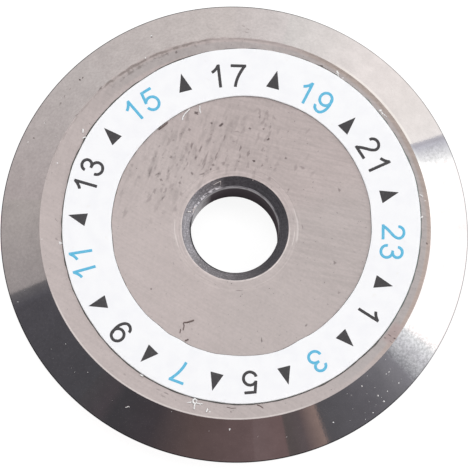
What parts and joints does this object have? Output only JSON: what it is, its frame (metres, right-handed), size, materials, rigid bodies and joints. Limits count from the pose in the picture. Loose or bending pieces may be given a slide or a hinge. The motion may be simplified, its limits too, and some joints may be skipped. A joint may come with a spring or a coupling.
{
  "type": "fiber cleaver blade",
  "caption": "Round carbide cutting disc for a fiber cleaver, ground to a V edge, with a chamfered bore and a printed index label.",
  "frame": {"origin": "on the disc's axis, at its back face", "axes": "+Z along the disc's axis, towards the labelled face; +X to the right and +Y to the top of the labelled face as pictured"},
  "size_m": [0.016, 0.016, 0.0019],
  "materials": {
    "carbide": "ground and lapped, satin on the faces and bright on the bevels",
    "white_film": "white adhesive film, semi-matte"
  },
  "bodies": {
    "root": {"blade_disc": "carbide", "index_label": "white_film"}
  },
  "joints": []
}
